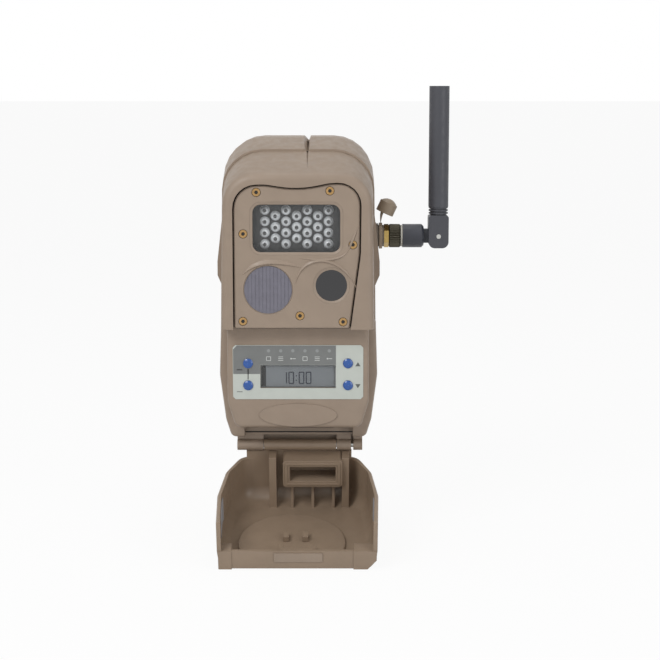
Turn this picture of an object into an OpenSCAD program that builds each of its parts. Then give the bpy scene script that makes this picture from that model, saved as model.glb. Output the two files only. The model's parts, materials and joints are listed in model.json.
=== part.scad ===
// Trail camera on its tree mount, front door hanging open.
// X points to the viewer's right, -Y to the front, +Z up. The origin is the mouth of the
// tripod thread in the back, level with the split between hood and control panel.
// Depths are measured forward from that mouth, so a depth of 50 lies at y = -50.

/* [Body] */
// Height of the hood above the split line
hood_h = 104.4; // [98:0.2:112]
// Drop of the body below the split line
foot_h = 66.7; // [64.5:0.1:72]
// Half width of the body just under the hood's top corners
top_half = 43; // [41:0.5:46]
// Half width of the body at the split line
mid_half = 44.2; // [43.4:0.2:47]
// Half width of the body at its bulge beside the control panel
bulge_half = 45.2; // [44.4:0.2:48]
// Half width of the body near its foot
foot_half = 38.6; // [38:0.2:40]
// Radius of the hood's upper corners, seen from the front
hood_r = 23; // [16:1:26]
// Depth of the flat back, behind which only the mount stands out
back_d = 8; // [7.6:0.1:8.4]
// Rounding round the flat back
back_r = 6; // [3:0.5:8]
// Wall of the moulded housings
wall = 2.4; // [1.8:0.1:3]
// Depth of the seam between the two housings
seam_d = 61; // [60:0.1:62]
// Depth of the flange that the door closes on
rim_d = 68; // [67:0.2:69]
// Depth at which the hood starts to slope down
slope_d = 43; // [38:1:48]
// Slope of the hood's top towards the front
hood_slope = 18.4; // [14:0.2:21]

/* [Hood front] */
// Depth of the front frame
frame_d = 94; // [93:0.2:96]
// Half width of the front frame at its top
frame_top_half = 41; // [40:0.5:42.5]
// Rounding of the frame's outer edge
frame_r = 3.2; // [2:0.2:4.5]
// Step down from the rear housing to the front one at the seam
seam_step = 1.2; // [0.6:0.1:2]
// Depth of the seat behind the bezel
seat_d = 88.2; // [87:0.2:88.6]
// Width of the ledge that the bezel's gasket lies on
ledge = 3; // [2.6:0.1:3.4]
// Gap round the bezel
bezel_gap = 0.7; // [0.4:0.1:1.2]

/* [Bezel] */
// Thickness of the bezel plate
bezel_t = 3.4; // [2.6:0.1:3.8]
// Thickness of the gasket under the bezel
gasket_t = 1; // [0.6:0.1:1.4]
// Width of the gasket strip
gasket_w = 1.8; // [1.2:0.1:2]
// Width of the lamp window
led_w = 51.4; // [48:0.2:54]
// Height of the lamp window
led_h = 29.3; // [28:0.2:31]
// Height of the lamp window's centre above the split line
led_z = 56.3; // [55:0.1:58]
// Corner radius of the lamp window
led_corner = 6; // [3:0.5:8]
// Radius of the motion sensor's opening
pir_r = 13.8; // [12:0.1:14]
// Sideways place of the motion sensor
pir_x = -16.3; // [-17:0.1:-15.5]
// Height of the motion sensor above the split line
pir_z = 22.2; // [21:0.1:23]
// Radius of the camera's opening
eye_r = 10.2; // [8:0.1:10.8]
// Sideways place of the camera
eye_x = 18.8; // [18:0.1:19.5]
// Height of the camera above the split line
eye_z = 24.6; // [24:0.1:25]
// Radius of a bezel screw's head
screw_head_r = 2.2; // [1.8:0.1:2.4]
// Radius of a bezel screw's thread
screw_r = 1.25; // [1:0.05:1.4]
// Length of a bezel screw under its head
screw_l = 11; // [9:0.5:13]

/* [Lamps] */
// Radius of one lamp
lamp_r = 2.7; // [2.2:0.05:2.8]
// Height of one lamp up to its dome
lamp_h = 5.2; // [5:0.1:6]
// Distance between columns of lamps
lamp_col = 5.9; // [5.8:0.05:6.1]
// Distance between rows of lamps
lamp_row = 3.15; // [3.1:0.05:3.4]
// Rows of lamps
lamp_rows = 7; // [5:2:7]
// Thickness of the circuit boards
board_t = 1.6; // [1.2:0.1:2]

/* [Control panel] */
// Depth of the control panel's face
panel_d = 82; // [81:0.2:83]
// Half width of the control panel
panel_half = 40; // [38.5:0.5:41]
// Drop of the control panel below the split line
panel_h = 58.3; // [57.5:0.1:60]
// Half width of the label
label_half = 36.8; // [35:0.2:37.4]
// Drop of the label's top edge below the split line
label_top = 10.5; // [9:0.1:12]
// Height of the label
label_h = 31; // [29:0.2:32]
// Thickness of the label
label_t = 0.4; // [0.2:0.1:0.6]
// Width of the display window
lcd_w = 42.6; // [40:0.2:44]
// Height of the display window
lcd_h = 13.2; // [12:0.2:14]
// Drop of the display's centre below the split line
lcd_drop = 28.5; // [28:0.1:29.5]
// Sideways place of the buttons
button_x = 28.2; // [27:0.1:29]
// Drop of the upper buttons below the split line
button_drop = 20.9; // [20:0.1:21.5]
// Distance between the upper and the lower buttons
button_pitch = 12.6; // [11:0.1:13]
// Radius of a button
button_r = 2.75; // [2.2:0.05:3]
// Height of a button above the label
button_proud = 1.3; // [0.9:0.1:2]
// Travel of a button
button_travel = 0.7; // [0.4:0.1:0.8]
// Half width of the bare oval pad
pad_half_w = 22; // [18:0.5:24]
// Half height of the bare oval pad
pad_half_h = 6.6; // [5:0.2:7]

/* [Door] */
// Angle between the closed door and the door hanging open
door_open = 106; // [90:1:112]
// Depth of the hinge pin
hinge_d = 60; // [59.6:0.2:61]
// Drop of the hinge pin below the body's foot
hinge_drop = 6.2; // [5.8:0.1:7.5]
// Radius of the hinge knuckles
knuckle_r = 3.2; // [2.8:0.1:3.6]
// Radius of the hinge pin
pin_r = 1.5; // [1.2:0.05:1.7]
// Gap between the pin and the door's bore
pin_gap = 0.06; // [0.03:0.01:0.1]
// Depth of the closed door's front face
door_d = 98; // [97:0.2:100]
// Wall of the door
door_wall = 2.2; // [1.8:0.1:2.6]
// Gap between the closed door and the body
door_gap = 0.6; // [0.4:0.1:1]
// Drop of the door's floor below the hinge pin
door_drop = 1.6; // [1:0.1:2]
// Inner and outer rounding where the door's floor meets its front
door_r = 11; // [7:0.5:13]
// Half width of the door's neck
neck_half = 30.6; // [29.5:0.2:31.5]
// Depth of the door's top lip
lip_depth = 11; // [8:0.5:12]
// Sideways place of the card collar
collar_x = 8; // [7:0.5:9]
// Width of the card collar
collar_w = 34.4; // [33:0.2:36]
// Depth of the card collar, front to back
collar_h = 17.2; // [16.6:0.2:18]
// Thickness of the collar's two rims
collar_rim = 1.2; // [1:0.1:1.4]
// Width of the groove between the rims
collar_groove = 1.5; // [1.2:0.1:1.8]
// Thickness of the ribs in the door
rib_t = 1.6; // [1.2:0.1:2]

/* [Battery tray] */
// Radius of one D cell
cell_r = 17.1; // [16.6:0.1:17.1]
// Length of one D cell without its cap
cell_l = 60; // [58:0.5:60]
// Height of a cell's cap
cap_h = 1.5; // [1:0.1:1.5]
// Wall of the battery tray
tray_wall = 1.6; // [1.2:0.1:2]
// Gap between the tray and its bay
tray_gap = 0.5; // [0.4:0.1:0.8]
// Room for springs and contacts at each end of the cells
end_room = 4; // [3.6:0.1:5]
// Pull-out length of the battery tray
tray_pull = 130; // [60:5:132]

/* [Memory card] */
// Width of the card
card_w = 24; // [23.8:0.1:24]
// Height of the card
card_h = 32; // [31:0.5:32]
// Thickness of the card
card_t = 2.1; // [2:0.1:2.2]
// Depth of the card in the camera
card_d = 73; // [72.4:0.1:73]
// Pull-out length of the card
card_pull = 28; // [20:1:30]

/* [Antenna] */
// Height of the antenna connector above the split line
jack_z = 48; // [45:0.5:52]
// Depth of the antenna connector
jack_d = 48; // [40:0.5:51]
// Outer radius of the antenna's collar and base
base_r = 6.75; // [6:0.05:7.2]
// Length of the knurled collar
collar_l = 7; // [6:0.2:8]
// Length of the round base
base_l = 12.2; // [11:0.2:13]
// Distance of the elbow pin from the end of the base
elbow_off = 8.5; // [8.3:0.1:9.5]
// Radius of the whip
whip_r = 5.75; // [5:0.05:6]
// Height of the whip's tip above the elbow pin
whip_l = 85.6; // [70:0.2:110]
// Radius of the elbow pin
elbow_r = 1.3; // [1:0.05:1.6]

/* [Tree mount] */
// Radius of the tripod thread
tripod_r = 3.175; // [3.175:0.005:3.2]
// Length of the tripod thread
tripod_l = 7.5; // [6:0.1:7.8]
// Radius of the threaded insert
insert_r = 5; // [4.6:0.1:5.5]
// Width of the strap that the lugs take
strap_w = 25.4; // [20:0.2:26]
// Thickness of the strap slot
strap_slot = 4.5; // [4.2:0.1:4.6]

/* [Hidden] */
$fn = 48;

e = 0.01;
fit = 0.1;
facets = 6;

// --- Colours ---
shell_c = "#94836f";
dark_c = "#35322f";
board_c = "#2f5a3a";
metal_c = "#b9b9b4";

// --- Outline helpers ---
function unit(v) = v / norm(v);

// Arc of radius r in place of corner p between the neighbours a and b
function corner(a, p, b, r, n) =
    r <= 0 ? [p] :
    let (u = unit(a - p), v = unit(b - p), half = acos(u * v) / 2,
         c = p + unit(u + v) * r / sin(half),
         s = p + u * r / tan(half) - c, t = p + v * r / tan(half) - c,
         start = atan2(s[1], s[0]), turn = atan2(cross(s, t), s * t))
    [for (i = [0:n]) c + r * [cos(start + turn * i / n), sin(start + turn * i / n)]];

// Outline through corners [x, z, r], each rounded by its own radius
function rounded(pts) = let (m = len(pts)) [for (i = [0:m - 1])
    let (a = pts[(i + m - 1) % m], p = pts[i], b = pts[(i + 1) % m])
    each corner([a[0], a[1]], [p[0], p[1]], [b[0], b[1]], p[2], facets)];

// Both sides of an outline whose right half runs upwards
function mirrored(half) = concat(half,
    [for (i = [len(half) - 1:-1:0]) [-half[i][0], half[i][1], half[i][2]]]);

// Outline in the plane at depth d
function ring(d, half) = [for (p = rounded(mirrored(half))) [p[0], -d, p[1]]];

// Closed skin over rings that all have the same number of points
module loft(rings) {
    n = len(rings[0]);
    m = len(rings);
    sides = [for (k = [0:m - 2], i = [0:n - 1])
        let (a = k * n + i, b = k * n + (i + 1) % n) [a, a + n, b + n, b]];
    first = [for (i = [0:n - 1]) i];
    last = [for (i = [n - 1:-1:0]) (m - 1) * n + i];
    polyhedron([for (r = rings) each r], concat([first], sides, [last]));
}

// Prism over an x-z outline between two depths
module slab(d0, d1) {
    rotate([90, 0, 0]) translate([0, 0, d0]) linear_extrude(d1 - d0) children();
}

// Prism over a depth-z outline between two x values
module bar(x0, x1) {
    translate([x0, 0, 0]) rotate([90, 0, 90]) linear_extrude(x1 - x0)
        mirror([1, 0]) children();
}

// Round pin along the depth at x, z
module stud(x, z, r, d0, d1) {
    translate([x, -d0, z]) rotate([90, 0, 0]) cylinder(r = r, h = d1 - d0);
}

// Round pin along x at depth d and height z
module axle(x0, x1, d, z, r) {
    translate([x0, -d, z]) rotate([0, 90, 0]) cylinder(r = r, h = x1 - x0);
}

// Box from its x range, depth range and height range
module box(x, d, z) {
    translate([x[0], -d[1], z[0]]) cube([x[1] - x[0], d[1] - d[0], z[1] - z[0]]);
}

module round_rect(w, h, r) {
    hull() for (i = [-1, 1], j = [-1, 1]) translate([i * (w / 2 - r), j * (h / 2 - r)]) circle(r);
}

// --- Body shape ---
function drop(d) = max(0, d - slope_d) * tan(hood_slope);

// Lower sides shared by the body's flange and the door: foot, waist, bulge
waist = [41.9, -0.84 * foot_h, 14];
bulge = [bulge_half, -0.45 * foot_h, 16];

// Right half of the rear housing's outline, inset by t at depth d
function rear_half(d, t) = [
    [foot_half - t, -foot_h + t, max(3.5 - t, 0.8)],
    [waist[0] - t, waist[1], waist[2]],
    [bulge[0] - t, bulge[1], bulge[2]],
    [mid_half - t, 0, 12],
    [top_half - t, hood_h - drop(d) - t, hood_r - t]];

hinge_z = -foot_h - hinge_drop;

// Bay for the battery tray, open at the foot
tray_w = 4 * cell_r + 2 * tray_wall;
tray_d = 2 * cell_r + 2 * tray_wall;
tray_d0 = back_d + wall + tray_gap;
tray_d1 = tray_d0 + tray_d;
cell_top = 2 * (cell_l + cap_h);
cell_z0 = -foot_h + wall + end_room;
bay_top = cell_z0 + cell_top + end_room + tray_gap;
bay_half = tray_w / 2 + tray_gap;
bay_d1 = tray_d1 + tray_gap;

module rear_shell() {
    outer = [for (a = [0, 30, 60, 90]) let (t = back_r * (1 - sin(a)))
        ring(back_d + back_r * (1 - cos(a)), rear_half(0, t))];
    hood = [for (d = [slope_d, seam_d]) ring(d, rear_half(d, 0))];
    inner = [for (d = [seam_d, slope_d]) ring(d, rear_half(d, wall))];
    loft(concat(outer, hood, inner, [ring(back_d + wall, rear_half(0, wall + 1.5))]));
}

// Raised grip on the side of the body, shaped like a wedge that ends in a step
module side_grip() {
    slab(back_d + back_r, seam_d - 4) polygon([[mid_half - wall, 62], [mid_half - 0.8, 62],
        [mid_half + 2.4, 34], [mid_half + 2.4, 26], [mid_half - 0.2, 20], [mid_half - wall, 20]]);
}

// Toothed jaw that grips the bark, with a window for the strap
jaw_half = 33;
jaw_t = 4;
jaw_teeth = 11;
tooth = 8;
strap_z = 26;
module jaw() {
    difference() {
        bar(jaw_half - jaw_t / 2, jaw_half + jaw_t / 2)
            polygon(concat([[back_d + wall / 2, -jaw_teeth * tooth / 2]],
                [for (i = [0:jaw_teeth - 1], s = [0, 1])
                    [s * 1.5, (i - jaw_teeth / 2 + s / 2) * tooth]],
                [[back_d + wall / 2, (jaw_teeth - 0.5) * tooth / 2]]));
        for (s = [-1, 1]) box([jaw_half - jaw_t, jaw_half + jaw_t], [back_d - strap_slot, back_d],
            [s * strap_z - strap_w / 2 - 0.5, s * strap_z + strap_w / 2 + 0.5]);
    }
}

// Screws that clamp the two housings together: x and z of each
clamps = [[-40.6, -22], [40.6, -22], [-32, 85], [32, 85]];
clamp_r = 1.5;
clamp_boss = 3.6;
clamp_head = 2.5;
clamp_seat_d = seam_d - 10;
clamp_end_d = rim_d - 2;

jack_out = mid_half + 0.4;
jack_r = 3.2;
boot_l = 4.6;
jack_in = bay_half + wall + 0.3;
ear_x = [[-35.8, -30], [31.6, 36.8]];
body_knuckle_x = [[-30, -20.6], [21.9, 30.2]];
door_knuckle_x = [-20.3, 21.6];

module rear_housing() color(shell_c) difference() {
    union() {
        rear_shell();
        for (s = [0, 1]) mirror([s, 0, 0]) {
            side_grip();
            jaw();
        }
        // wall between the battery bay and the electronics
        box([-bay_half - wall, bay_half + wall], [bay_d1, bay_d1 + wall], [-foot_h + wall / 2, bay_top + wall]);
        box([-bay_half - wall, bay_half + wall], [back_d + wall / 2, bay_d1 + wall], [bay_top, bay_top + wall]);
        for (s = [-1, 1]) box([s * (bay_half + wall / 2) - wall / 2, s * (bay_half + wall / 2) + wall / 2],
            [back_d + wall / 2, bay_d1 + wall], [-foot_h + wall, bay_top + wall]);
        for (p = clamps) stud(p[0], p[1], clamp_boss, back_d + 1, seam_d);
        // boss round the tripod insert
        stud(0, 0, insert_r + 2.6, 0, back_d + wall / 2);
        // boss that carries the antenna jack
        axle(mid_half - wall, jack_out, jack_d, jack_z, base_r + 1);
        hinge_block();
        // bulkhead behind the notch for the door's neck
        box([-neck_half - 4, neck_half + 4], [seam_d - wall, seam_d],
            [-foot_h + wall / 2, -panel_h + wall + 2]);
    }
    slab(seam_d - groove_deep, seam_d + 1) seam_groove();
    box([-bay_half, bay_half], [back_d + wall, bay_d1], [-foot_h - 1, bay_top]);
    stud(0, 0, insert_r, -1, tripod_l);
    for (p = clamps) {
        stud(p[0], p[1], clamp_r + 0.2, back_d - 1, seam_d + 1);
        stud(p[0], p[1], clamp_head + 0.3, back_d - 1, clamp_seat_d);
    }
    axle(mid_half - wall - 1, jack_out + 1, jack_d, jack_z, jack_r);
    axle(jack_out, jack_out + 4, jack_d, jack_z, base_r + 1);
    hood_nose();
    axle(-40, 40, hinge_d, hinge_z, pin_r);
}

// Groove round the seam, inside the step between the housings
groove_deep = 1.4;
module seam_groove() difference() {
    polygon(rounded(mirrored(rear_half(seam_d, seam_step + 0.1))));
    polygon(rounded(mirrored(rear_half(seam_d, seam_step + 0.8))));
}

// Body side of the hinge: knuckles and end ears under the foot
module hinge_block() {
    for (x = concat(body_knuckle_x, ear_x)) {
        axle(x[0], x[1], hinge_d, hinge_z, knuckle_r);
        box(x, [hinge_d - knuckle_r, hinge_d], [hinge_z, -foot_h + wall / 2]);
    }
}

// V-shaped nose groove that runs down the hood's top to a point
nose_x = 5.6;
nose_w = 5;
nose_deep = 3;
nose_tip_d = 85;
function nose_ring(d, k) = let (z = hood_h - drop(d) - (d > seam_d ? seam_step : 0))
    [[nose_x - k * nose_w * 0.7, -d, z + 1], [nose_x, -d, z - k * nose_deep],
     [nose_x + k * nose_w * 0.3, -d, z + 1]];
module hood_nose() {
    loft([nose_ring(back_d - 1, 1), nose_ring(slope_d, 1), nose_ring(nose_tip_d, 0.05)]);
}

// --- Front housing ---
// Right half of the hood's outline at depth d, inset by t, standing on height z
function hood_half(d, t, z = 0) = let (f = (d - seam_d) / (frame_d - seam_d),
        w0 = top_half - seam_step / 2, w = w0 - f * (w0 - frame_top_half))
    [[mid_half - seam_step / 2 - f - t, z, 0.6],
     [w - t, hood_h - drop(d) - seam_step - t, hood_r - 5 * f - t]];

function flange_half(t) = [[foot_half - t, -foot_h + t, max(3.5 - t, 0.8)],
    [waist[0] - t, waist[1], waist[2]], [bulge[0] - t, bulge[1], bulge[2]], [mid_half - t, wall / 2, 0.6]];

function panel_outline(t, top) = [[panel_half - 4.6 - t, -panel_h + t, 5],
    [panel_half - t, -panel_h + 15, 12], [panel_half - t, top, 0.6]];

// Corner points [x, z, r] of the bezel, whose top edge rises in two waves
bezel_pts = [[28.9, 0.6, 1.2], [34.4, 42, 30], [34.8, 81.4, 12], [17.5, 80.6, 26], [0.5, 77, 60],
    [-17.5, 79.9, 26], [-35, 79.6, 12.5], [-35, 0.6, 1.2]];
bezel_screw_at = [[-22.5, 76.2], [18, 77], [-29.9, 53.3], [30.7, 47.3], [-30.3, 4.6], [1.4, 7.7],
    [25.3, 4.3]];
bezel_boss = screw_r + 1.4;
module bezel_outline() polygon(rounded(bezel_pts));

button_at = [[-button_x, -button_drop], [-button_x, -button_drop - button_pitch],
    [button_x, -button_drop], [button_x, -button_drop - button_pitch]];
status_z = -label_top - 3.2;
status_x = [for (i = [0:5]) -16.6 + i * 6.85];
status_r = 0.9;
card_slot = 0.4;

module panel_block(t, top) {
    r = 2;
    loft(concat([ring(rim_d - 1, panel_outline(t, top))], [for (a = [0, 30, 60, 90])
        ring(panel_d - t - r * (1 - sin(a)), panel_outline(t + r * (1 - cos(a)), top))]));
}

module flange() {
    r = 1.8;
    loft(concat([ring(seam_d, flange_half(0))], [for (a = [0, 45, 90])
        ring(rim_d - r * (1 - sin(a)), flange_half(r * (1 - cos(a))))]));
}

module hood() {
    loft(concat([ring(seam_d, hood_half(seam_d, 0))], [for (a = [0, 30, 60, 90])
        let (d = frame_d - frame_r * (1 - sin(a))) ring(d, hood_half(d, frame_r * (1 - cos(a))))]));
}

module front_shell() difference() {
    union() {
        hood();
        flange();
        panel_block(0, wall);
        // bare oval pad under the label
        translate([0, 0, -panel_h + pad_half_h + 1]) slab(panel_d - 1, panel_d + 0.7)
            scale([1, pad_half_h / pad_half_w]) circle(pad_half_w);
    }
    loft([ring(seam_d - 1, hood_half(seam_d, wall, wall)),
        ring(seat_d - wall, hood_half(seat_d - wall, wall, wall))]);
    panel_block(wall, 2 * wall);
    box([-panel_half + wall + 2, panel_half - wall - 2], [seam_d - 1, rim_d + 1],
        [-panel_h + wall, 2 * wall]);
    slab(seat_d, frame_d + 1) offset(delta = bezel_gap) bezel_outline();
    box([bezel_pts[7][0] - bezel_gap, bezel_pts[0][0] + bezel_gap], [seat_d, frame_d + 1], [-1, 3]);
    slab(seat_d - wall - 1, seat_d + 1) offset(delta = -ledge) bezel_outline();
    // notch under the panel for the door's neck and collar
    box([-neck_half - 0.6, neck_half + 0.6], [seam_d - 1, rim_d + 1], [-foot_h - 1, -panel_h]);
}

module front_housing() color(shell_c) difference() {
    union() {
        front_shell();
        for (p = bezel_screw_at) stud(p[0], p[1], bezel_boss, seat_d - screw_l + 1, seat_d);
        // web that carries the bottom middle boss
        box([bezel_screw_at[5][0] - 1, bezel_screw_at[5][0] + 1], [seat_d - screw_l + 1, seat_d],
            [wall / 2, bezel_screw_at[5][1] - screw_r]);
        for (p = clamps) stud(p[0], p[1], clamp_boss, seam_d, rim_d - 1);
    }
    for (p = bezel_screw_at) stud(p[0], p[1], screw_r, seat_d - screw_l, seat_d + 1);
    for (p = clamps) stud(p[0], p[1], clamp_r, seam_d - 1, clamp_end_d);
    for (p = button_at) stud(p[0], p[1], button_r + fit, panel_d - wall - 1, panel_d + 1);
    for (x = status_x) stud(x, status_z, status_r + fit, panel_d - wall - 1, panel_d + 1);
    box([-lcd_w / 2, lcd_w / 2], [panel_d - wall - 1, panel_d + 1],
        [-lcd_drop - lcd_h / 2, -lcd_drop + lcd_h / 2]);
    box([collar_x - card_w / 2 - card_slot, collar_x + card_w / 2 + card_slot],
        [card_d - card_t / 2 - card_slot, card_d + card_t / 2 + card_slot],
        [-panel_h - 1, -panel_h + wall + 1]);
    hood_nose();
}

// Posts that the control board is screwed to
board_posts = [[-34, -15], [34, -15], [-33.5, -42], [33.5, -42]];
switch_h = 2.2;
button_skirt = 1;
board_front_d = panel_d - wall - button_skirt - button_travel - switch_h;

module housing_gasket() color("black") slab(seam_d - groove_deep, seam_d) seam_groove();

module housing_screws() color(metal_c) for (p = clamps) {
    difference() {
        stud(p[0], p[1], clamp_head, clamp_seat_d - 2.2, clamp_seat_d);
        translate([p[0], -(clamp_seat_d - 2.3), p[1]]) rotate([90, 0, 0]) cylinder(r = 1.3, h = 1.4, $fn = 6);
    }
    stud(p[0], p[1], clamp_r, clamp_seat_d, clamp_end_d - 1);
}

// --- Bezel ---
bezel_back_d = seat_d + gasket_t;
bezel_front_d = bezel_back_d + bezel_t;
screw_seat_d = bezel_front_d - 1.9;

module bezel() color(shell_c) difference() {
    union() {
        slab(bezel_back_d, bezel_front_d - 0.6) bezel_outline();
        slab(bezel_front_d - 0.6, bezel_front_d) offset(delta = -0.5) bezel_outline();
    }
    translate([-0.5, 0, led_z]) {
        slab(bezel_back_d - 1, bezel_front_d + 1) round_rect(led_w, led_h, led_corner);
        slab(bezel_back_d - 1, bezel_back_d + window_t) offset(delta = window_lip)
            round_rect(led_w, led_h, led_corner);
    }
    for (p = [[pir_x, pir_z, pir_r], [eye_x, eye_z, eye_r]]) {
        stud(p[0], p[1], p[2], bezel_back_d - 1, bezel_front_d + 1);
        stud(p[0], p[1], p[2] + window_lip, bezel_back_d - 1, bezel_back_d + window_t);
    }
    for (p = bezel_screw_at) {
        stud(p[0], p[1], screw_r + 0.25, bezel_back_d - 1, bezel_front_d + 1);
        stud(p[0], p[1], screw_head_r + 0.3, screw_seat_d, bezel_front_d + 1);
    }
}

module bezel_gasket() color("black") slab(seat_d, bezel_back_d) difference() {
    offset(delta = bezel_gap - 0.1) bezel_outline();
    offset(delta = -gasket_w) bezel_outline();
}

module bezel_screws() color(metal_c) for (p = bezel_screw_at) {
    difference() {
        stud(p[0], p[1], screw_head_r, screw_seat_d, bezel_front_d - 0.3);
        translate([p[0], -(bezel_front_d - 1.3), p[1]]) rotate([90, 0, 0]) cylinder(r = 1.1, h = 2, $fn = 6);
    }
    stud(p[0], p[1], screw_r, seat_d - screw_l + 1, screw_seat_d);
}

// --- Lamps ---
window_t = 1.5;
window_lip = 1.4;
window_step = 1.2;
window_d0 = bezel_back_d;
tray_lip = 0.8;
lamp_board_d = window_d0 - 8.5;

// Window of the given outline with a step that seats in its opening
module stepped_window(d0) {
    slab(d0, d0 + window_t) offset(delta = window_lip) children();
    slab(d0 + window_t, d0 + window_t + window_step) offset(delta = -fit) children();
}
module led_window() color("lightgray", 0.4) translate([-0.5, 0, led_z])
    stepped_window(window_d0) round_rect(led_w, led_h, led_corner);

module lamp_tray() color(dark_c) translate([-0.5, 0, led_z]) slab(lamp_board_d + board_t, window_d0) difference() {
    offset(delta = tray_lip) round_rect(led_w, led_h, led_corner);
    round_rect(led_w - 2, led_h - 1.6, led_corner);
}

module led_board() color("black") translate([-0.5, 0, led_z])
    slab(lamp_board_d, lamp_board_d + board_t) offset(delta = tray_lip) round_rect(led_w, led_h, led_corner);

// Staggered rows of four and three lamps
function lamps() = [for (j = [0:lamp_rows - 1]) let (n = j % 2 == 0 ? 4 : 3)
    for (i = [0:n - 1]) [-0.5 + (2 * i - n + 1) * lamp_col, led_z + (j - (lamp_rows - 1) / 2) * lamp_row]];
lamp_d0 = lamp_board_d + board_t;
dome_r = lamp_r - 0.3;
module ir_leds() color("white", 0.6) for (p = lamps()) {
    stud(p[0], p[1], lamp_r, lamp_d0, lamp_d0 + 1);
    stud(p[0], p[1], dome_r, lamp_d0 + 1, lamp_d0 + lamp_h - dome_r);
    translate([p[0], -(lamp_d0 + lamp_h - dome_r), p[1]]) sphere(dome_r);
}

// --- Sensors behind the bezel ---
sensor_board_d = seat_d - screw_l + 1 - board_t;
module sensor_board() color(board_c) difference() {
    box([-33, 28], [sensor_board_d, sensor_board_d + board_t], [3.2, 38]);
    for (p = bezel_screw_at) stud(p[0], p[1], screw_r + 0.3, sensor_board_d - 1, sensor_board_d + board_t + 1);
}
// Round window with a step that seats in the bezel's opening
module round_window(x, z, r) {
    stud(x, z, r + window_lip, window_d0, window_d0 + window_t);
    stud(x, z, r - fit, window_d0 + window_t, window_d0 + window_t + window_step);
}
module pir_lens() color("#7d7a86") round_window(pir_x, pir_z, pir_r);
module lens_window() color("#30333a", 0.6) round_window(eye_x, eye_z, eye_r);
module pir_sensor() color(metal_c) {
    stud(pir_x, pir_z, 4.6, sensor_board_d + board_t, sensor_board_d + board_t + 1);
    stud(pir_x, pir_z, 4.1, sensor_board_d + board_t + 1, sensor_board_d + board_t + 4);
}
module lens_barrel() color("black") difference() {
    union() {
        box([eye_x - 8, eye_x + 8], [sensor_board_d + board_t, sensor_board_d + board_t + 3], [eye_z - 8, eye_z + 8]);
        stud(eye_x, eye_z, 7, sensor_board_d + board_t + 3, window_d0 - 0.3);
    }
    stud(eye_x, eye_z, 5.4, window_d0 - 2.3, window_d0);
    stud(eye_x, eye_z, 3.4, window_d0 - 4, window_d0);
}

// --- Main electronics ---
main_board_d = rim_d - 1;
module main_board() color(board_c) translate([0, 0, 46]) slab(main_board_d, main_board_d + board_t)
    round_rect(70, 84, 16);
module radio_module() color(metal_c) box([-20, 12], [main_board_d + board_t, main_board_d + board_t + 3], [58, 82]);
module control_board() color(board_c) box([-35, 35], [board_front_d - board_t, board_front_d], [-46, -10]);

// --- Control panel ---
module panel_label() color("#a7aaa8") slab(panel_d, panel_d + label_t) translate([0, -label_top - label_h / 2])
    difference() {
        offset(delta = 2.5, chamfer = true) square([2 * label_half - 5, label_h - 5], center = true);
        translate([0, label_top + label_h / 2 - lcd_drop]) square([lcd_w, lcd_h], center = true);
        for (p = button_at) translate([p[0], p[1] + label_top + label_h / 2]) circle(button_r + fit);
        for (x = status_x) translate([x, status_z + label_top + label_h / 2]) circle(status_r + fit);
    }
module lcd_glass() color("lightgray", 0.5)
    box([-lcd_w / 2 + fit, lcd_w / 2 - fit], [panel_d - wall + 0.6, panel_d],
        [-lcd_drop - lcd_h / 2 + fit, -lcd_drop + lcd_h / 2 - fit]);
module lcd_module() color("#73787b") {
    box([-lcd_w / 2 - 1, lcd_w / 2 + 1], [board_front_d, panel_d - wall], [-lcd_drop - lcd_h / 2 - 1.5, -lcd_drop + lcd_h / 2 + 1.5]);
    box([-lcd_w / 2 + 1, lcd_w / 2 - 1], [panel_d - wall, panel_d - wall + 0.6], [-lcd_drop - lcd_h / 2 + 0.6, -lcd_drop + lcd_h / 2 - 0.6]);
}
module status_leds() color("#d8d8d0") for (x = status_x) stud(x, status_z, status_r, board_front_d, panel_d + label_t);

// Domed key with a skirt behind the panel
module key(p) color("#21538f") {
    stud(p[0], p[1], button_r + 0.8, panel_d - wall - button_skirt, panel_d - wall - 0.05);
    stud(p[0], p[1], button_r, panel_d - wall - 0.05, panel_d + label_t + button_proud - 0.8);
    translate([p[0], -(panel_d + label_t + button_proud - 0.8), p[1]]) rotate([90, 0, 0])
        rotate_extrude() intersection() {
            translate([0, 0.8 - (pow(button_r, 2) + pow(0.8, 2)) / 1.6]) circle((pow(button_r, 2) + pow(0.8, 2)) / 1.6);
            square([button_r, 2]);
        }
}
module button_mode() key(button_at[0]);
module button_more() key(button_at[1]);
module button_up() key(button_at[2]);
module button_down() key(button_at[3]);
module tact_switches() color("#222222") for (p = button_at) {
    box([p[0] - 2.6, p[0] + 2.6], [board_front_d, board_front_d + 1.4], [p[1] - 2.6, p[1] + 2.6]);
    stud(p[0], p[1], 1.5, board_front_d + 1.4, board_front_d + switch_h);
}

// --- Memory card ---
card_proud = 1.5;
card_z0 = -panel_h - card_proud;
socket_t = 0.8;
module card_socket() color(metal_c) difference() {
    box([collar_x - card_w / 2 - 1.6, collar_x + card_w / 2 + 1.6], [card_d - card_t / 2 - 1.4, board_front_d - board_t],
        [-panel_h + wall + 0.2, card_z0 + card_h + 1.6]);
    box([collar_x - card_w / 2 - 0.2, collar_x + card_w / 2 + 0.2], [card_d - card_t / 2 - 0.2, card_d + card_t / 2 + 0.2],
        [-panel_h, card_z0 + card_h + 0.2]);
}
module memory_card() color("#2b2d33") slab(card_d - card_t / 2, card_d + card_t / 2)
    translate([collar_x, card_z0]) polygon([[-card_w / 2, 0], [card_w / 2, 0], [card_w / 2, card_h - 4],
        [card_w / 2 - 4, card_h], [-card_w / 2, card_h]]);

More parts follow.
